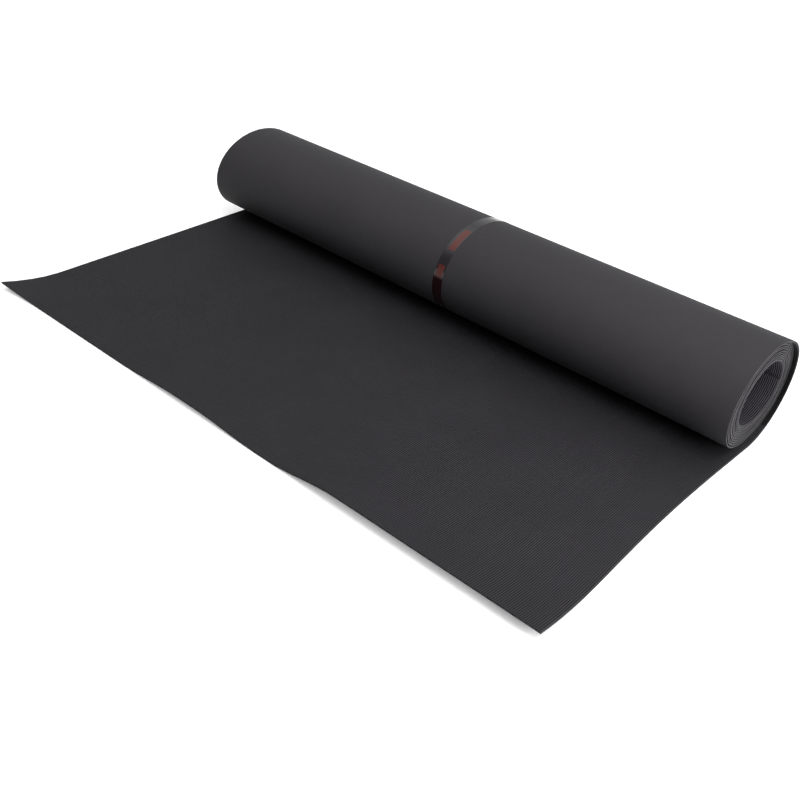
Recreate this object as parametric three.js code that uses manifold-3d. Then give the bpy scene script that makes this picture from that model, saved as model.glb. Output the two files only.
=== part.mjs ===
import * as THREE from "three";
import { mergeVertices } from "three/addons/utils/BufferGeometryUtils.js";
import Module from "manifold-3d";

const wasm = await Module();
wasm.setup();

// An insulating mat of ribbed black rubber, five metres long, partly unrolled on a level floor.
// All sizes are in millimetres. X runs along the roll, the free end of the mat points to -Y.

// The sheet
const matWidth = 1000;
const matThickness = 3;
const freeLength = 515;

// The roll's outer turn at its near end (+X), an oval that sags towards its far end
const rollHalfWidth = 94.2;
const rollHalfHeight = 82.2;
const rollForward = 1;
const farWidening = 0.035;
const farSag = 0.096;

// The bore, measured at the near end
const boreHalfWidth = 59.5;
const boreHalfHeight = 45;
const boreHeight = 82.8;
const boreForward = 1;

// How the turns lie on each other
const turnCount = 10;
const woundThickness = 2.6;
const woundClearance = 0.2;
const endGrooveDepth = 12;
const innerInset = 0.5;
const rollSetBack = 7;
const gapUnder = 4;
const gapBehind = 1.5;
const gapAbove = 0.3;

// How the free sheet lies: its corners and its end are curled up a little, its near side is wavy.
// The places along the end where it rises are measured from the middle of the mat.
const frontCornerLift = 13;
const endLift = 13;
const middleLift = 6;
const farCornerLift = 10;
const farCornerFlare = 12;
const farCornerReach = 7;
const curlReach = 130;
const farCurlReach = 90;
const sideWave = 6;
const endRiseStart = 80;
const endRiseFull = 200;
const cornerRiseStart = 360;
const middleRisePlace = -80;
const middleRiseHalf = 20;
const middleRiseReach = 140;
const sideWaveStart = 250;

// The clear marking strip on the smooth face
const stripWidth = 18;
const stripThickness = 0.3;
const stripCentre = 8;
const stripSeat = 0.05;

// How finely the curves are cut, with the sheet's rows closer together towards its free end
const stepsPerTurn = 32;
const columns = 16;
const sheetRows = 14;
const rowCrowding = 0.8;

const DEGREE = Math.PI / 180;
const firstAngle = -90 * DEGREE;
const lastAngle = firstAngle + (turnCount * 360 + 90) * DEGREE;
const riseStart = 200 * DEGREE;
const riseEnd = 270 * DEGREE;
const setBackStart = 30 * DEGREE;
const setBackEnd = 180 * DEGREE;
const stepAngle = (360 / stepsPerTurn) * DEGREE;
const joinAngle = stepNear(280 * DEGREE);
const stripStart = stepNear(-65 * DEGREE);
const stripEnd = stepNear(245 * DEGREE);

// The step of the winding nearest to an angle
function stepNear(angle) {
  return firstAngle + Math.round((angle - firstAngle) / stepAngle) * stepAngle;
}

function blend(from, to, share) {
  return from + (to - from) * share;
}

// A share that runs smoothly from 0 at one value to 1 at the other
function ease(value, from, to) {
  return THREE.MathUtils.smoothstep(value, from, to);
}

// The gap between the loose outer turn and the ones inside it, by direction round the roll
function looseGap(angle) {
  const up = Math.max(0, Math.sin(angle));
  const down = Math.max(0, -Math.sin(angle));
  const back = Math.max(0, Math.cos(angle));
  return gapAbove + (gapUnder - gapAbove) * ease(down, 0.6, 1) + (gapBehind - gapAbove) * back * (1 - up);
}

// The outer face of the mat at an angle of its winding, and the direction towards the bore there.
// The winding starts under the roll, goes up the back, over the top and down the front.
function windingFace(angle, share) {
  const inward = (angle - firstAngle) / (lastAngle - firstAngle);
  const halfWidth = blend(rollHalfWidth, boreHalfWidth + woundThickness, inward);
  const halfHeight = blend(rollHalfHeight, boreHalfHeight + woundThickness, inward);
  const centreY = -blend(rollForward, boreForward, inward);
  const centreZ = blend(rollHalfHeight, boreHeight, inward);
  const toBore = new THREE.Vector2(-Math.cos(angle) / halfWidth, -Math.sin(angle) / halfHeight).normalize();
  const face = new THREE.Vector2(centreY + halfWidth * Math.cos(angle), centreZ + halfHeight * Math.sin(angle));
  face.addScaledVector(toBore, looseGap(angle) * ease(angle, riseStart, riseEnd));
  face.x *= 1 + farWidening * share;
  face.y *= 1 - farSag * share;
  return { face, toBore };
}

// How far the free sheet stands off the floor
function sheetLift(x, fromEnd) {
  const near = fade(fromEnd, curlReach);
  const corner = ease(x, cornerRiseStart, matWidth / 2) ** 2;
  const end = endLift * ease(x, endRiseStart, endRiseFull) + (frontCornerLift - endLift) * corner;
  const middle = middleLift * (1 - ease(Math.abs(x - middleRisePlace), middleRiseHalf, middleRiseReach));
  return (end + middle) * near + farCornerLift * farCorner(x, fromEnd);
}

// A share that is 1 at the far corner of the free end and falls to 0 around it
function farCorner(x, fromEnd) {
  return fade(matWidth / 2 + x, farCurlReach) * fade(fromEnd, farCurlReach);
}

// A share that is 1 at an edge and falls to 0 at the given reach from it
function fade(distance, reach) {
  return Math.max(0, 1 - distance / reach) ** 2;
}

// How far the near side of the free sheet wanders from a straight line, and its far corner flares
function sideShift(x, fromEnd) {
  const along = fromEnd / freeLength;
  const wave = sideWave * Math.cos(1.5 * Math.PI * along) * (1 - along / 2);
  return wave * ease(x, sideWaveStart, matWidth / 2) - farCornerFlare * farCorner(x, fromEnd);
}

// Places along the mat: each gives the point of the underside or outer face, and the way through it
function flatPlace(fromRoll) {
  return (x) => {
    const fromEnd = freeLength - fromRoll;
    const y = -rollForward - fromRoll - farCornerReach * farCorner(x, fromEnd);
    return {
      face: new THREE.Vector3(x + sideShift(x, fromEnd), y, sheetLift(x, fromEnd)),
      through: new THREE.Vector3(0, 0, 1),
    };
  };
}

function turnPlace(angle) {
  return (x) => {
    const { face, toBore } = windingFace(angle, 0.5 - x / matWidth);
    const back = rollSetBack * ease(angle, setBackStart, setBackEnd);
    return {
      face: new THREE.Vector3(x - back, face.x, face.y),
      through: new THREE.Vector3(0, toBore.x, toBore.y),
    };
  };
}

// A strip of sheet that runs through a row of places, from one depth below its face to another
function sheetStrip(places, xFrom, xTo, cells, depthFrom, depthTo) {
  const rows = places.length - 1;
  const geometry = new THREE.BoxGeometry(1, 1, 1, cells, 1, rows);
  const at = geometry.attributes.position;
  for (let i = 0; i < at.count; i++) {
    const x = blend(xFrom, xTo, at.getX(i) + 0.5);
    const place = places[Math.round((0.5 - at.getZ(i)) * rows)](x);
    const depth = blend(depthFrom, depthTo, at.getY(i) + 0.5);
    place.face.addScaledVector(place.through, depth);
    at.setXYZ(i, place.face.x, place.face.y, place.face.z);
  }
  return geometry;
}

function angles(from, to) {
  const count = Math.max(1, Math.round((to - from) / stepAngle));
  return Array.from({ length: count + 1 }, (_, i) => blend(from, to, i / count));
}

function solid(geometry) {
  geometry.deleteAttribute("normal");
  geometry.deleteAttribute("uv");
  const merged = mergeVertices(geometry, 1e-4);
  return new wasm.Manifold(
    new wasm.Mesh({
      numProp: 3,
      vertProperties: merged.attributes.position.array,
      triVerts: new Uint32Array(merged.index.array),
    }),
  );
}

function meshOf(manifold) {
  const made = manifold.getMesh();
  const geometry = new THREE.BufferGeometry();
  geometry.setAttribute("position", new THREE.BufferAttribute(new Float32Array(made.vertProperties), 3));
  geometry.setIndex(new THREE.BufferAttribute(new Uint32Array(made.triVerts), 1));
  geometry.computeVertexNormals();
  return geometry;
}

// The free sheet and the loose outer turn, up to where the next turn starts inside it
function sheetAndOuterTurn() {
  const places = [];
  for (let i = 0; i < sheetRows; i++) {
    const share = 1 - i / sheetRows;
    places.push(flatPlace(freeLength * share ** rowCrowding));
  }
  angles(firstAngle, joinAngle).forEach((angle) => places.push(turnPlace(angle)));
  return solid(sheetStrip(places, -matWidth / 2, matWidth / 2, columns, 0, matThickness));
}

// The turns inside the outer one, a little thinner, because their ribs are pressed
function innerTurns() {
  const start = joinAngle - stepAngle / 4;
  const places = angles(start, lastAngle).map(turnPlace);
  const end = matWidth / 2 - innerInset;
  return solid(sheetStrip(places, -end, end, 1, woundClearance, woundClearance + woundThickness));
}

// The plain body between the end faces, from the middle of the second turn to that of the innermost
function rollBody() {
  const middle = woundClearance + woundThickness / 2;
  const loop = (from) =>
    angles(from, from + 2 * Math.PI).map((angle) => {
      const { face, toBore } = windingFace(angle, 0);
      return face.addScaledVector(toBore, middle);
    });
  const section = new THREE.Shape(loop(joinAngle));
  section.holes.push(new THREE.Path(loop(lastAngle - 2 * Math.PI)));
  const length = matWidth - 2 * endGrooveDepth;
  const geometry = new THREE.ExtrudeGeometry(section, { depth: length, steps: 1, bevelEnabled: false });
  const at = geometry.attributes.position;
  for (let i = 0; i < at.count; i++) {
    const x = at.getZ(i) - length / 2;
    const share = 0.5 - x / matWidth;
    const y = at.getX(i) * (1 + farWidening * share);
    const z = at.getY(i) * (1 - farSag * share);
    at.setXYZ(i, x - rollSetBack, y, z);
  }
  return solid(geometry);
}

function insulatingMat() {
  const rubber = new THREE.MeshStandardMaterial({ color: 0x35353a, roughness: 0.75, metalness: 0 });
  const body = sheetAndOuterTurn().add(innerTurns()).add(rollBody());
  const mesh = new THREE.Mesh(meshOf(body), rubber);
  mesh.name = "insulating_mat";
  return mesh;
}

// The strip starts in the nip at the front, goes over the top and ends where the mat meets the floor
function markingStrip() {
  const film = new THREE.MeshStandardMaterial({ color: 0x4a4648, roughness: 0.25, metalness: 0 });
  const left = stripCentre - stripWidth / 2;
  const geometry = sheetStrip(
    angles(stripStart, stripEnd).map(turnPlace), left, left + stripWidth, 1, -stripSeat - stripThickness, -stripSeat,
  );
  const mesh = new THREE.Mesh(meshOf(solid(geometry)), film);
  mesh.name = "marking_strip";
  return mesh;
}

// The origin is the middle of the bottom of the mat's bounding box
const part = new THREE.Group();
part.name = "electrical_insulating_mat";
const mat = insulatingMat();
const strip = markingStrip();
part.add(mat, strip);
const box = new THREE.Box3().setFromObject(part);
const centre = box.getCenter(new THREE.Vector3());
[mat, strip].forEach((mesh) => mesh.position.set(-centre.x, -centre.y, 0));

export default part;
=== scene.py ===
import math

import bpy
from mathutils import Matrix, Vector


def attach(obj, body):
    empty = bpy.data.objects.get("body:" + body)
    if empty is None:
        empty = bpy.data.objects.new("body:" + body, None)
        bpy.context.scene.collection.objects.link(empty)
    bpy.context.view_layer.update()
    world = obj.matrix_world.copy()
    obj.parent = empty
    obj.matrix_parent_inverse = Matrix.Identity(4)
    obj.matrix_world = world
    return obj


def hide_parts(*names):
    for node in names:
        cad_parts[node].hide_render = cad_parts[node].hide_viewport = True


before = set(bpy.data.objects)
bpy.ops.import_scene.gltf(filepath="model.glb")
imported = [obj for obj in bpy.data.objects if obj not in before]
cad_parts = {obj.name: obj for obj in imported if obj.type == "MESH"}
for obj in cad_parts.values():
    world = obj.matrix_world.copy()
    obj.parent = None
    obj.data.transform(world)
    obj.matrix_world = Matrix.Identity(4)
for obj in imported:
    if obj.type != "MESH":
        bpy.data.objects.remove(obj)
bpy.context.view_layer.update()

# An insulating mat of ribbed black rubber, partly unrolled on a level floor.
# All sizes are in metres. X runs along the roll, the free end of the mat points to -Y.

# The sheet and its ribs
MAT_WIDTH = 1.0
MAT_THICKNESS = 0.003
FREE_LENGTH = 0.515
RIB_COUNT = 364
RIB_CROWN = 0.34
RIB_FLANK = 0.16
RIB_DEPTH = 0.001
RIB_PITCH = MAT_WIDTH / RIB_COUNT

# The winding: an oval that sags towards its far end, from the outer turn to the bore
ROLL_HALF_WIDTH = 0.0942
ROLL_HALF_HEIGHT = 0.0822
ROLL_FORWARD = 0.001
FAR_WIDENING = 0.035
FAR_SAG = 0.096
BORE_HALF_WIDTH = 0.0621
BORE_HALF_HEIGHT = 0.0476
BORE_HEIGHT = 0.0828
TURNS = 10.25
ROLL_SET_BACK = 0.007
SET_BACK_START = math.radians(30)
SET_BACK_END = math.radians(180)
TELESCOPING = 0.0012
GAP_UNDER = 0.004
GAP_BEHIND = 0.0015
GAP_ABOVE = 0.0003
GAP_START = math.radians(200)
GAP_END = math.radians(270)

# How the free sheet lies. Places across it are shares of its width, from its middle
FRONT_CORNER_LIFT = 0.013
END_LIFT = 0.013
MIDDLE_LIFT = 0.006
FAR_CORNER_LIFT = 0.010
FAR_CORNER_FLARE = 0.012
FAR_CORNER_REACH = 0.007
CURL_REACH = 0.130
FAR_CURL_REACH = 0.090
END_LIFT_START = 0.08
END_LIFT_FULL = 0.2
CORNER_START = 0.36
MIDDLE_PLACE = -0.08
MIDDLE_HALF = 0.02
MIDDLE_REACH = 0.14
SIDE_WAVE = 0.006
SIDE_WAVE_START = 0.25
SIDE_WAVE_TURNS = 0.75

# The clear marking strip on the smooth face
STRIP_WIDTH = 0.018
STRIP_THICKNESS = 0.00015
STRIP_CENTRE = 0.008
STRIP_SEAT = 0.00005
STRIP_FROM = math.radians(25)
STRIP_TO = math.radians(335)

# Its printed blocks: from and to an angle on the roll, and from and to a share of its width
RED_BLOCKS = [(111, 139, -0.25, 0.4), (157, 172, -0.3, 0.35)]
DARK_BLOCK = (173, 215, -0.5, 0.5)

# Colours. SMOOTH, RIB and the bore crown's painted highlight are twice as light as the rubber: a shade of 1
# takes half of them
BLACK = (0.0, 0.0, 0.0, 1.0)
WHITE = (1.0, 1.0, 1.0, 1.0)
SMOOTH_COLOUR = (0.058, 0.054, 0.061, 1.0)
RIB_COLOUR = (0.034, 0.0318, 0.0368, 1.0)
# Painted light in the bore: its grooves are painted nearly black as painted shade, and its rib crowns lighter
# than the rubber elsewhere as a painted highlight
BORE_GROOVE_PAINTED_SHADE = (0.001, 0.001, 0.001, 1.0)
BORE_CROWN_PAINTED_HIGHLIGHT = (0.13, 0.12, 0.145, 1.0)
# The cut edges are painted lighter than the faces as a painted highlight, and vary between two colours with
# dust
EDGE_HIGHLIGHT_AND_DUST_COLOURS = ((0.052, 0.048, 0.054, 1.0), (0.076, 0.070, 0.079, 1.0))
# Painted shade: the borders of the cut edges are painted near-black, as the shade in the gaps between the
# turns
EDGE_BORDER_PAINTED_SHADE = (0.003, 0.003, 0.003, 1.0)
# Painted shade: the faces between the turns are painted this share darker
GAP_SHADE = 0.85
FILM_COLOUR = (0.022, 0.020, 0.023, 1.0)
RED_COLOUR = (0.095, 0.013, 0.007, 1.0)
DARK_RED_COLOUR = (0.014, 0.003, 0.004, 1.0)
FLOOR_COLOUR = (0.86, 0.86, 0.86, 1.0)

# The middle of the mat's bounding box is the origin
MAT_ORIGIN = Vector((0.003, 0.213674, 0))

# The light
FRONT_LIGHT = 0.01
WALL_LIGHT = 0.75
CEILING_LIGHT = 2.05
SIDE_POWER = 5
TOP_POWER = 7
FLOOR_GLOW = 0.3

# Edges that bend more than EDGE_ANGLE are sharp. Corners nearer than MERGE_DISTANCE become one.
# Faces of the flat mat whose normal is less steep than UPRIGHT_NORMAL are its cut edges
EDGE_ANGLE = math.radians(25)
MERGE_DISTANCE = 1e-5
UPRIGHT_NORMAL = 0.02

# How finely the mat is cut into cells
STEPS_PER_TURN = 48
FLAT_ROWS = 20
NIP_ROWS = 4
END_RIBS = 4
HIDDEN_CELLS = 12
BORE_RIBS = 36
BORE_CELLS = 28
BACK_CELLS = 32
STEP = 2 * math.pi / STEPS_PER_TURN
LAST_ROW = FLAT_ROWS + round(TURNS * STEPS_PER_TURN)
NIP_ROW = FLAT_ROWS + NIP_ROWS
BORE_ROW = LAST_ROW - STEPS_PER_TURN - 1
BORE_START = (TURNS - 1.02) * 2 * math.pi


class Value:
    """What a node's socket gives. Python expressions on numbers add Math nodes."""

    def __init__(self, nodes, socket):
        self.nodes = nodes
        self.socket = socket

    def output(self, name):
        return Value(self.nodes, self.socket.node.outputs[name])

    def __add__(self, other):
        return self.nodes.math("ADD", self, other)

    def __sub__(self, other):
        return self.nodes.math("SUBTRACT", self, other)

    def __rsub__(self, other):
        return self.nodes.math("SUBTRACT", other, self)

    def __mul__(self, other):
        return self.nodes.math("MULTIPLY", self, other)

    def __truediv__(self, other):
        return self.nodes.math("DIVIDE", self, other)

    def __rtruediv__(self, other):
        return self.nodes.math("DIVIDE", other, self)

    def __pow__(self, power):
        return self.nodes.math("POWER", self, power)

    def __neg__(self):
        return self.nodes.math("MULTIPLY", self, -1.0)

    def __gt__(self, other):
        return self.nodes.math("GREATER_THAN", self, other)

    def __lt__(self, other):
        return self.nodes.math("LESS_THAN", self, other)

    __radd__ = __add__
    __rmul__ = __mul__


class Nodes:
    """A node tree that is filled from Python."""

    def __init__(self, tree):
        self.tree = tree

    def add(self, kind, inputs=None, output=0, **settings):
        node = self.tree.nodes.new(kind)
        for name, value in settings.items():
            setattr(node, name, value)
        self.fill(node, inputs or {})
        return Value(self, node.outputs[output]) if node.outputs else None

    def fill(self, node, inputs):
        """Links the node's sockets or sets them. A list of values all go to the same socket."""
        for key, value in inputs.items():
            several = isinstance(value, list)
            if several or isinstance(value, Value):
                for source in value if several else [value]:
                    self.tree.links.new(source.socket, node.inputs[key])
            else:
                node.inputs[key].default_value = value

    def math(self, operation, *values):
        return self.add("ShaderNodeMath", dict(enumerate(values)), operation=operation)

    def ease(self, value, low, high):
        """A share that runs smoothly from 0 at one value to 1 at the other."""
        return self.add(
            "ShaderNodeMapRange",
            {"Value": value, "From Min": low, "From Max": high},
            interpolation_type="SMOOTHSTEP",
        )

    def ramp(self, value, low, high, from_value=0.0, to_value=1.0):
        inputs = {"Value": value, "From Min": low, "From Max": high, "To Min": from_value, "To Max": to_value}
        return self.add("ShaderNodeMapRange", inputs)

    def largest(self, value, other):
        return self.math("MAXIMUM", value, other)

    def smallest(self, value, other):
        return self.math("MINIMUM", value, other)

    def vector(self, x, y, z):
        return self.add("ShaderNodeCombineXYZ", {"X": x, "Y": y, "Z": z})

    def separate(self, vector):
        x = self.add("ShaderNodeSeparateXYZ", {0: vector})
        return x, x.output("Y"), x.output("Z")

    def noise(self, place, scale, detail=2.0, roughness=0.5):
        inputs = {"Vector": place, "Scale": scale, "Detail": detail, "Roughness": roughness}
        return self.add("ShaderNodeTexNoise", inputs)

    def colour(self, factor, low, high):
        """The first colour where the factor is 0 and the second where it is 1."""
        return self.add("ShaderNodeMix", {0: factor, 6: low, 7: high}, output=2, data_type="RGBA")


def group_with_sizes(name, sizes):
    """A Geometry Nodes tree with one named input for each size, and the sizes as values in it."""
    tree = bpy.data.node_groups.new(name, "GeometryNodeTree")
    tree.interface.new_socket(name="Geometry", in_out="OUTPUT", socket_type="NodeSocketGeometry")
    sockets = {}
    for size_name in sizes:
        kind = "NodeSocketFloat"
        sockets[size_name] = tree.interface.new_socket(name=size_name, in_out="INPUT", socket_type=kind)
    nodes = Nodes(tree)
    start = nodes.add("NodeGroupInput")
    values = {size_name: start.output(size_name) for size_name in sizes}
    return nodes, values, {size_name: socket.identifier for size_name, socket in sockets.items()}


# The sizes that say how the mat lies, as named inputs of every tree that lays something on it
LAY_SIZES = {
    "mat width": MAT_WIDTH,
    "free length": FREE_LENGTH,
    "roll half width": ROLL_HALF_WIDTH,
    "roll half height": ROLL_HALF_HEIGHT,
    "roll forward": ROLL_FORWARD,
    "far widening": FAR_WIDENING,
    "far sag": FAR_SAG,
    "bore half width": BORE_HALF_WIDTH,
    "bore half height": BORE_HALF_HEIGHT,
    "bore height": BORE_HEIGHT,
    "turns": TURNS,
    "roll set back": ROLL_SET_BACK,
    "telescoping": TELESCOPING,
    "gap under": GAP_UNDER,
    "gap behind": GAP_BEHIND,
    "gap above": GAP_ABOVE,
    "front corner lift": FRONT_CORNER_LIFT,
    "end lift": END_LIFT,
    "middle lift": MIDDLE_LIFT,
    "far corner lift": FAR_CORNER_LIFT,
    "far corner flare": FAR_CORNER_FLARE,
    "far corner reach": FAR_CORNER_REACH,
    "curl reach": CURL_REACH,
    "far curl reach": FAR_CURL_REACH,
    "side wave": SIDE_WAVE,
}


def laid(nodes, size, flat_mat):
    """Lays a flat mat: its points (across, along, depth) go to their places in the free sheet and the roll.

    Along is in metres where it is negative, on the free sheet, and in radians of winding past that.
    Depth is from the smooth face to the ribbed one."""
    across, along, depth = nodes.separate(flat_mat)
    width = size["mat width"]

    def fade(distance, reach):
        return nodes.largest(1 - distance / reach, 0.0) ** 2.0

    # The free sheet
    from_roll = nodes.largest(-along, 0.0)
    from_end = size["free length"] - from_roll
    near_end = fade(from_end, size["curl reach"])
    corner = nodes.ease(across, width * CORNER_START, width * 0.5) ** 2.0
    end_lift = size["end lift"] * nodes.ease(across, width * END_LIFT_START, width * END_LIFT_FULL)
    end_lift = end_lift + (size["front corner lift"] - size["end lift"]) * corner
    from_middle = nodes.math("ABSOLUTE", across - width * MIDDLE_PLACE)
    off_middle = nodes.ease(from_middle, width * MIDDLE_HALF, width * MIDDLE_REACH)
    middle_lift = size["middle lift"] * (1 - off_middle)
    far_corner = fade(width * 0.5 + across, size["far curl reach"]) * fade(from_end, size["far curl reach"])
    lift = (end_lift + middle_lift) * near_end + size["far corner lift"] * far_corner
    share_along = from_end / size["free length"]
    swing = nodes.math("COSINE", share_along * (SIDE_WAVE_TURNS * 2 * math.pi))
    wave = size["side wave"] * swing * (1 - share_along / 2)
    side_shift = wave * nodes.ease(across, width * SIDE_WAVE_START, width * 0.5)
    side_shift = side_shift - size["far corner flare"] * far_corner
    flat_place = nodes.vector(
        across + side_shift,
        -(size["roll forward"]) - from_roll - size["far corner reach"] * far_corner,
        lift + depth,
    )

    # The winding
    wound = nodes.largest(along, 0.0)
    angle = wound - math.pi / 2
    inward = wound / (size["turns"] * (2 * math.pi))
    half_width = size["roll half width"] + (size["bore half width"] - size["roll half width"]) * inward
    half_height = size["roll half height"] + (size["bore half height"] - size["roll half height"]) * inward
    centre = size["roll half height"] + (size["bore height"] - size["roll half height"]) * inward
    cosine = nodes.math("COSINE", angle)
    sine = nodes.math("SINE", angle)
    to_bore_y = -(cosine / half_width)
    to_bore_z = -(sine / half_height)
    steepness = nodes.math("SQRT", to_bore_y * to_bore_y + to_bore_z * to_bore_z)
    up = nodes.largest(sine, 0.0)
    down = nodes.largest(-sine, 0.0)
    back = nodes.largest(cosine, 0.0)
    gap = size["gap above"] + (size["gap under"] - size["gap above"]) * nodes.ease(down, 0.6, 1.0)
    gap = gap + (size["gap behind"] - size["gap above"]) * back * (1 - up)
    gap = gap * nodes.ease(angle, GAP_START, GAP_END)
    share = 0.5 - across / width
    face_y = (cosine * half_width - size["roll forward"] + gap * to_bore_y / steepness) * (
        1 + size["far widening"] * share
    )
    face_z = (centre + sine * half_height + gap * to_bore_z / steepness) * (1 - size["far sag"] * share)
    set_back = nodes.ease(angle, SET_BACK_START, SET_BACK_END)
    unevenness = 0.5 + 0.3 * nodes.math("SINE", angle * 0.83 + 1.0) + 0.2 * nodes.math("SINE", angle * 2.57)
    shift = (size["telescoping"] * unevenness - size["roll set back"]) * set_back
    wound_place = nodes.vector(
        across + shift, face_y + depth * to_bore_y / steepness, face_z + depth * to_bore_z / steepness
    )
    place = nodes.add(
        "GeometryNodeSwitch",
        {"Switch": along > -1e-6, "False": flat_place, "True": wound_place},
        input_type="VECTOR",
    )
    return nodes.add("ShaderNodeVectorMath", {0: place, 1: MAT_ORIGIN}, operation="ADD")


def patch(nodes, columns, rows, place):
    """A grid of cells. place gives (across, along, depth) from the numbers of a corner's column and row."""
    grid = nodes.add(
        "GeometryNodeMeshGrid",
        {"Size X": float(columns), "Size Y": float(rows), "Vertices X": columns + 1, "Vertices Y": rows + 1},
    )
    x, y, _ = nodes.separate(nodes.add("GeometryNodeInputPosition"))
    column = nodes.math("ROUND", x + columns / 2)
    row = nodes.math("ROUND", y + rows / 2)
    position = nodes.vector(*place(column, row))
    return nodes.add("GeometryNodeSetPosition", {"Geometry": grid, "Position": position})


def rubber_sheet(name, material):
    """The whole mat: real ribs on the free sheet, in the bore and at both ends of every turn."""
    sizes = dict(LAY_SIZES)
    sizes.update({
        "mat thickness": MAT_THICKNESS,
        "rib pitch": RIB_PITCH,
        "rib crown": RIB_CROWN,
        "rib flank": RIB_FLANK,
        "rib depth": RIB_DEPTH,
    })
    nodes, size, identifiers = group_with_sizes(name, sizes)
    half = size["mat width"] * 0.5
    thickness = size["mat thickness"]
    pitch = size["rib pitch"]
    crown = size["rib crown"]
    flank = size["rib flank"]
    margin = (1 - crown - flank * 2) * 0.5
    groove_depth = thickness - size["rib depth"]

    def along(row):
        flat = nodes.largest(1 - row / FLAT_ROWS, 0.0) ** 0.8
        return nodes.largest(row - FLAT_ROWS, 0.0) * STEP - size["free length"] * flat

    def rib_corner(column):
        """Four corners for each rib, up and down its flanks. Both edges of the mat are cut in a groove."""
        rib = nodes.math("FLOOR", (column - 0.9) / 4)
        corner = column - 1 - rib * 4
        offset = margin + ((corner > 0.5) + (corner > 2.5)) * flank + (corner > 1.5) * crown
        across = nodes.smallest(nodes.largest((rib + offset) * pitch - half, -half), half)
        return across, groove_depth + (corner > 0.5) * (corner < 2.5) * size["rib depth"]

    def with_plain_middle(column, ribs, cells):
        """Ribs at both ends of the width and plain cells between them."""
        ribbed = 4 * ribs
        limit = half - (ribs - margin) * pitch
        left, left_depth = rib_corner(nodes.smallest(column, float(ribbed)))
        right, right_depth = rib_corner(nodes.smallest(2 * ribbed + cells - column, float(ribbed)))
        plain = (column - ribbed) / cells * 2 - 1
        in_right = column > ribbed + cells - 0.5
        in_middle = (column > ribbed + 0.5) * (1 - in_right)
        across = left * (1 - in_middle) * (1 - in_right) + plain * limit * in_middle - right * in_right
        depth = left_depth * (1 - in_right) + right_depth * in_right
        depth = depth * (1 - in_middle) + groove_depth * in_middle
        return across, depth

    def snapped(across, limit, cells):
        """The nearest border between plain cells. A row of points there becomes a fan once it is merged."""
        cell = limit * 2 / cells
        return nodes.math("ROUND", (across + limit) / cell) * cell - limit

    def onto_hidden_columns(across, depth, mask):
        limit = half - (END_RIBS - margin) * pitch
        mask = mask * (nodes.math("ABSOLUTE", across) < limit - 1e-4)
        at_border = snapped(across, limit, HIDDEN_CELLS)
        return across + (at_border - across) * mask, depth + (groove_depth - depth) * mask

    def ribbed_face(column, row):
        across, depth = rib_corner(column)
        across, depth = onto_hidden_columns(across, depth, row > NIP_ROW + 0.5)
        return across, along(row), depth

    def hidden_face(column, row):
        across, depth = with_plain_middle(column, END_RIBS, HIDDEN_CELLS)
        return across, along(row + (NIP_ROW + 1)), depth

    def bore_face(column, row):
        across, depth = with_plain_middle(column, BORE_RIBS, BORE_CELLS)
        across, depth = onto_hidden_columns(across, depth, row < 0.5)
        return across, along(row + BORE_ROW), depth

    def smooth_face(column, row):
        side = (column < 0.5) + (column > BACK_CELLS + 1.5)
        from_side = nodes.smallest(nodes.largest(column - 1, 0.0), float(BACK_CELLS))
        return half - from_side * (half * 2 / BACK_CELLS), along(row), side * groove_depth

    def free_end(column, row):
        across, depth = rib_corner(column)
        border = snapped(across, half, BACK_CELLS)
        return border + (across - border) * row, -(size["free length"]), depth * row

    def inner_end(column, row):
        across, depth = with_plain_middle(column, BORE_RIBS, BORE_CELLS)
        border = snapped(across, half, BACK_CELLS)
        last = LAST_ROW - FLAT_ROWS
        return across + (border - across) * row, last * STEP, depth * (1 - row)

    rib_columns = 4 * RIB_COUNT + 1
    hidden_columns = 8 * END_RIBS + HIDDEN_CELLS
    bore_columns = 8 * BORE_RIBS + BORE_CELLS
    faces = [
        patch(nodes, rib_columns, NIP_ROW + 1, ribbed_face),
        patch(nodes, hidden_columns, BORE_ROW - NIP_ROW - 1, hidden_face),
        patch(nodes, bore_columns, LAST_ROW - BORE_ROW, bore_face),
        patch(nodes, BACK_CELLS + 2, LAST_ROW, smooth_face),
        patch(nodes, rib_columns, 1, free_end),
        patch(nodes, bore_columns, 1, inner_end),
    ]
    finish_tree(nodes, size, faces, material)
    return made_by_tree(name, nodes, sizes, identifiers)


def film_strip(name, material):
    """The clear strip that is stuck on the smooth face of the outer turn."""
    sizes = dict(LAY_SIZES)
    sizes.update({
        "strip width": STRIP_WIDTH,
        "strip thickness": STRIP_THICKNESS,
        "strip centre": STRIP_CENTRE,
        "strip seat": STRIP_SEAT,
    })
    nodes, size, identifiers = group_with_sizes(name, sizes)
    rows = round((STRIP_TO - STRIP_FROM) / STEP * 2)
    cross_section = [(0.5, 0), (-0.5, 0), (-0.5, 1), (0.5, 1), (0.5, 0)]

    def tube(column, row):
        across = size["strip centre"] + size["strip width"] * corner_value(column, cross_section, 0)
        depth = corner_value(column, cross_section, 1)
        return (
            across,
            row * ((STRIP_TO - STRIP_FROM) / rows) + STRIP_FROM,
            depth * size["strip thickness"] - size["strip seat"] - size["strip thickness"],
        )

    def end_at(station, flip):
        def place(column, row):
            side = 0.5 - column if flip else column - 0.5
            return (
                size["strip centre"] + size["strip width"] * side,
                station,
                row * size["strip thickness"] - size["strip seat"] - size["strip thickness"],
            )

        return place

    faces = [
        patch(nodes, 4, rows, tube),
        patch(nodes, 1, 1, end_at(STRIP_FROM, False)),
        patch(nodes, 1, 1, end_at(STRIP_TO, True)),
    ]
    finish_tree(nodes, size, faces, material)
    return made_by_tree(name, nodes, sizes, identifiers)


def corner_value(column, corners, axis):
    """The given coordinate of the cross-section's corner that a column number names."""
    total = float(corners[0][axis])
    for number in range(1, len(corners)):
        change = corners[number][axis] - corners[number - 1][axis]
        if change:
            total = total + (column > number - 0.5) * float(change)
    return total


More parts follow.
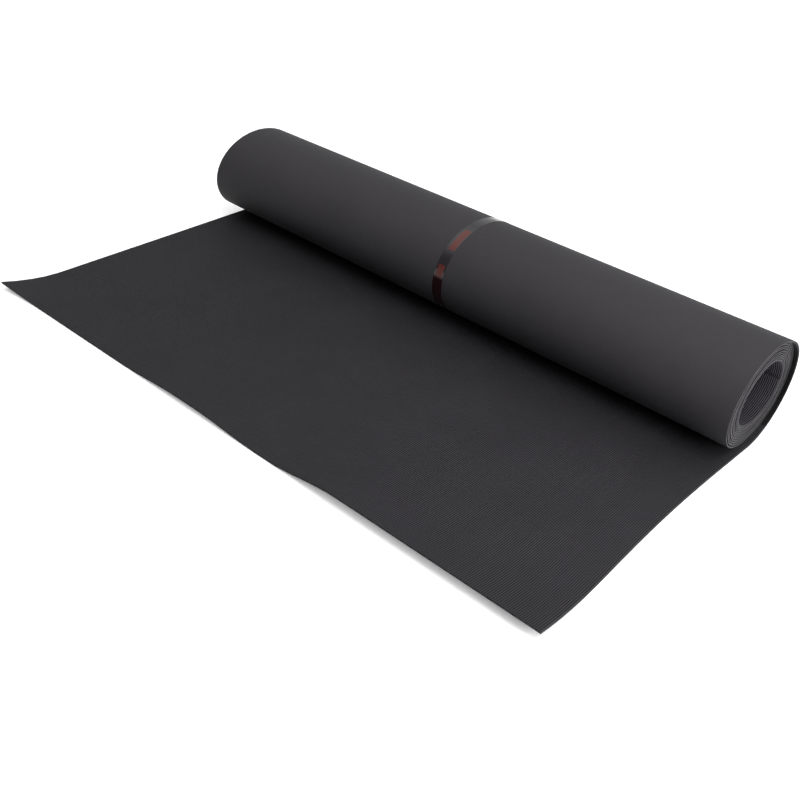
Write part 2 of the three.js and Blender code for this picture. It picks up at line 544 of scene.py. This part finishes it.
def finish_tree(nodes, size, faces, material):
    """Closes the flat piece, marks its cut edges, lays it, and gives it sharp edges and its material."""
    joined = nodes.add("GeometryNodeJoinGeometry", {"Geometry": faces})
    merged = nodes.add("GeometryNodeMergeByDistance", {"Geometry": joined, "Distance": MERGE_DISTANCE})
    flat_mat = nodes.add("GeometryNodeInputPosition")
    marked = nodes.add(
        "GeometryNodeStoreNamedAttribute",
        {"Geometry": merged, "Name": "flat_mat", "Value": flat_mat},
        data_type="FLOAT_VECTOR",
        domain="POINT",
    )
    _, _, normal_z = nodes.separate(nodes.add("GeometryNodeInputNormal"))
    marked = nodes.add(
        "GeometryNodeStoreNamedAttribute",
        {"Geometry": marked, "Name": "cut_edge", "Value": nodes.math("ABSOLUTE", normal_z) < UPRIGHT_NORMAL},
        data_type="FLOAT",
        domain="FACE",
    )
    bent = nodes.add("GeometryNodeSetPosition", {"Geometry": marked, "Position": laid(nodes, size, flat_mat)})
    edge_angle = nodes.add("GeometryNodeInputMeshEdgeAngle")
    smooth = nodes.add("GeometryNodeSetShadeSmooth", {"Geometry": bent, "Shade Smooth": True}, domain="FACE")
    smooth = nodes.add(
        "GeometryNodeSetShadeSmooth",
        {"Geometry": smooth, "Selection": edge_angle > EDGE_ANGLE, "Shade Smooth": False},
        domain="EDGE",
    )
    realized = nodes.add("GeometryNodeRealizeInstances", {"Geometry": smooth})
    painted = nodes.add("GeometryNodeSetMaterial", {"Geometry": realized, "Material": material})
    nodes.add("NodeGroupOutput", {0: painted})


def made_by_tree(name, nodes, sizes, identifiers):
    """The tree's result as a plain mesh object."""
    maker = bpy.data.objects.new(name + "_maker", bpy.data.meshes.new(name + "_maker"))
    bpy.context.scene.collection.objects.link(maker)
    modifier = maker.modifiers.new("tree", "NODES")
    modifier.node_group = nodes.tree
    for size_name, value in sizes.items():
        modifier[identifiers[size_name]] = float(value)
    evaluated = maker.evaluated_get(bpy.context.evaluated_depsgraph_get())
    mesh = bpy.data.meshes.new_from_object(evaluated)
    mesh.name = name
    piece = bpy.data.objects.new(name, mesh)
    bpy.context.scene.collection.objects.link(piece)
    bpy.data.objects.remove(maker)
    return piece


def new_material(name):
    material = bpy.data.materials.new(name)
    material.use_nodes = True
    shader = material.node_tree.nodes["Principled BSDF"]
    return material, Nodes(material.node_tree), shader


def black_rubber():
    """Matt black rubber. The cut edges are painted lighter as a painted highlight, with near-black borders as
    painted shade; the rib crowns are painted lighter and the grooves darker as painted shade, with a painted
    highlight on the bore's crowns; the gaps between the turns are painted dark as painted shade.
    """
    material, nodes, shader = new_material("black_rubber")
    place = nodes.add("ShaderNodeTexCoord").output("Object")
    flat_mat = nodes.add("ShaderNodeAttribute", attribute_name="flat_mat").output("Vector")
    across, along, depth = nodes.separate(flat_mat)
    cut = nodes.add("ShaderNodeAttribute", attribute_name="cut_edge").output("Fac")
    mottling = nodes.noise(place, 9.0, 4.0, 0.6)
    streaks = nodes.noise(nodes.vector(across * 60, along * 2, depth), 3.0, 3.0)
    dust = nodes.noise(place, 900.0, 2.0)
    shade = nodes.ramp(mottling, 0.3, 0.7, 0.92, 1.08) * nodes.ramp(streaks, 0.3, 0.7, 0.96, 1.04)
    shade = shade * nodes.ramp(dust, 0.35, 0.65, 0.95, 1.05)
    ribbed_side = nodes.ramp(depth, 0.0001, MAT_THICKNESS - RIB_DEPTH)
    # Painted shade: the smooth face of every turn after the first is painted darker, as the shade between the
    # turns
    gap_shade_factor = 1 - GAP_SHADE * (along > 2 * math.pi)
    smooth_side = nodes.colour(shade * gap_shade_factor * 0.5, BLACK, SMOOTH_COLOUR)
    # Painted shade: the rib grooves are painted about three times darker than the crowns
    crown = nodes.ramp(depth, MAT_THICKNESS - RIB_DEPTH, MAT_THICKNESS, 0.5, 1.6)
    # Painted shade: the ribbed face past the first half radian of the winding is painted darker, as the shade
    # between the turns
    crown = crown * (1 - GAP_SHADE * (along > 0.5))
    in_bore = along > BORE_START
    # Painted highlight on the bore's rib crowns and painted shade, nearly black, in its grooves
    bore_crown_highlight_share = nodes.ramp(depth, MAT_THICKNESS - RIB_DEPTH * 0.4, MAT_THICKNESS - RIB_DEPTH * 0.1)
    rib_side = nodes.colour(shade * crown * 0.5, BLACK, RIB_COLOUR)
    bore_face_painted_light = nodes.colour(shade * bore_crown_highlight_share * 0.5, BORE_GROOVE_PAINTED_SHADE, BORE_CROWN_PAINTED_HIGHLIGHT)
    face = nodes.colour(ribbed_side, smooth_side, nodes.colour(in_bore, rib_side, bore_face_painted_light))
    # Painted highlight: the cut edges are lighter than the faces, varied by dust
    edge = nodes.colour(dust, *EDGE_HIGHLIGHT_AND_DUST_COLOURS)
    # Painted shade: the cut edges turn near-black towards their borders, as the shade in the gaps between the
    # turns
    from_border = nodes.smallest(depth, MAT_THICKNESS - RIB_DEPTH - depth)
    edge = nodes.colour(nodes.ramp(from_border, 0.0003, 0.0007), EDGE_BORDER_PAINTED_SHADE, edge)
    roughness = nodes.ramp(mottling, 0.3, 0.7, 0.68, 0.76) - 0.15 * ribbed_side * (1 - cut)
    grain = nodes.noise(place, 1500.0, 2.0)
    rib_wave = nodes.math("SINE", across * (2 * math.pi / RIB_PITCH))
    plain_middle = nodes.math("ABSOLUTE", across) < MAT_WIDTH / 2 - BORE_RIBS * RIB_PITCH - RIB_PITCH
    plain_middle = plain_middle * (depth > (MAT_THICKNESS - RIB_DEPTH) * 0.9) * (along > 0.5)
    bump = nodes.add("ShaderNodeBump", {"Strength": 0.2, "Distance": 0.0002, "Height": grain})
    ribs = nodes.add(
        "ShaderNodeBump",
        {
            "Strength": 1.0,
            "Distance": RIB_DEPTH,
            "Height": nodes.ramp(rib_wave, -0.3, 0.3) * plain_middle,
            "Normal": bump,
        },
    )
    nodes.fill(shader, {
        "Base Color": nodes.colour(cut, face, edge),
        "Roughness": roughness,
        "Normal": ribs,
        "Specular IOR Level": 0.22,
    })
    return material


def printed_film():
    """Clear glossy film with plain dark red blocks."""
    material, nodes, shader = new_material("printed_film")
    flat_mat = nodes.add("ShaderNodeAttribute", attribute_name="flat_mat").output("Vector")
    across, along, depth = nodes.separate(flat_mat)
    place = nodes.add("ShaderNodeTexCoord").output("Object")
    angle = along * (180 / math.pi) - 90
    side = (across - STRIP_CENTRE) / STRIP_WIDTH

    def block(start, end, left, right):
        return (angle > start) * (angle < end) * (side > left) * (side < right)

    wear = nodes.ramp(nodes.noise(place, 900.0, 3.0), 0.35, 0.65, 0.55, 1.0)
    red = block(*RED_BLOCKS[0]) + block(*RED_BLOCKS[1])
    base = nodes.colour(red * wear, FILM_COLOUR, RED_COLOUR)
    base = nodes.colour(block(*DARK_BLOCK), base, DARK_RED_COLOUR)
    gloss = nodes.ramp(nodes.noise(place, 60.0, 2.0), 0.3, 0.7, 0.12, 0.2)
    creases = nodes.noise(nodes.vector(across * 40, along, depth), 6.0, 3.0)
    nodes.fill(shader, {
        "Base Color": base,
        "Roughness": gloss + 0.2 * red,
        "Normal": nodes.add("ShaderNodeBump", {"Strength": 0.2, "Distance": 0.0005, "Height": creases}),
        "Specular IOR Level": 0.38,
    })
    return material


def plain_floor():
    """A wide pale floor just under the mat. It glows a little, so that the shadows on it stay light."""
    mesh = bpy.data.meshes.new("floor")
    reach = 60.0
    level = -0.0002
    corners = [(-reach, -reach, level), (reach, -reach, level), (reach, reach, level), (-reach, reach, level)]
    mesh.from_pydata(corners, [], [(0, 1, 2, 3)])
    material, nodes, shader = new_material("pale_floor")
    nodes.fill(shader, {
        "Base Color": FLOOR_COLOUR,
        "Roughness": 0.9,
        "Emission Color": WHITE,
        "Emission Strength": FLOOR_GLOW,
    })
    mesh.materials.append(material)
    floor = bpy.data.objects.new("floor", mesh)
    bpy.context.scene.collection.objects.link(floor)


def soft_light(name, place, aim, width, depth, power):
    """A soft box at a place, turned to the point that it aims at."""
    data = bpy.data.lights.new(name, "AREA")
    data.shape = "RECTANGLE"
    data.size = width
    data.size_y = depth
    data.energy = power
    light = bpy.data.objects.new(name, data)
    light.location = place
    light.rotation_euler = (Vector(aim) - Vector(place)).to_track_quat("-Z", "Y").to_euler()
    bpy.context.scene.collection.objects.link(light)


def studio():
    """A room that is bright above, behind the roll and along the floor, and two lights by the near end."""
    world = bpy.data.worlds.new("studio")
    world.use_nodes = True
    nodes = Nodes(world.node_tree)
    right, back, height = nodes.separate(nodes.add("ShaderNodeTexCoord").output("Generated"))
    above = nodes.ease(height * 0.9 + right * 0.1, 0.46, 0.8)
    behind = nodes.ease(back, 0.0, 0.8)
    wall = (WALL_LIGHT - FRONT_LIGHT) * behind * (1 - above)
    strength = FRONT_LIGHT + (CEILING_LIGHT - FRONT_LIGHT) * above + wall
    strength = nodes.largest(strength, 1 - nodes.ease(height, 0.05, 0.13))
    nodes.fill(world.node_tree.nodes["Background"], {"Color": WHITE, "Strength": strength})
    bpy.context.scene.world = world
    soft_light("beside", (1.2, -0.05, 0.36), (0.45, 0.1, 0.05), 0.4, 0.3, SIDE_POWER)
    soft_light("above", (1.0, -0.2, 1.3), (0.4, 0.1, 0.1), 0.6, 0.6, TOP_POWER)
    bpy.context.scene.view_settings.view_transform = "Standard"


def camera():
    """The photograph's viewpoint, from the front right and above."""
    data = bpy.data.cameras.new("camera")
    data.sensor_fit = "HORIZONTAL"
    data.sensor_width = 36.0
    data.lens = 47.906
    right = Vector((0.7464779, 0.6596563, 0.0873178))
    down = Vector((0.4261298, -0.3731266, -0.8241298))
    look = Vector((-0.5110618, 0.6524034, -0.5596299))
    turned = Matrix((right, -down, -look)).transposed().to_4x4()
    made = bpy.data.objects.new("camera", data)
    made.matrix_world = Matrix.Translation((0.868189, -1.043476, 0.835356)) @ turned
    bpy.context.scene.collection.objects.link(made)
    bpy.context.scene.camera = made


camera()
studio()
plain_floor()

mat = rubber_sheet("rolled_mat", black_rubber())
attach(mat, "root")
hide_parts("insulating_mat")

strip = film_strip("clear_strip", printed_film())
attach(strip, "root")
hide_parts("marking_strip")
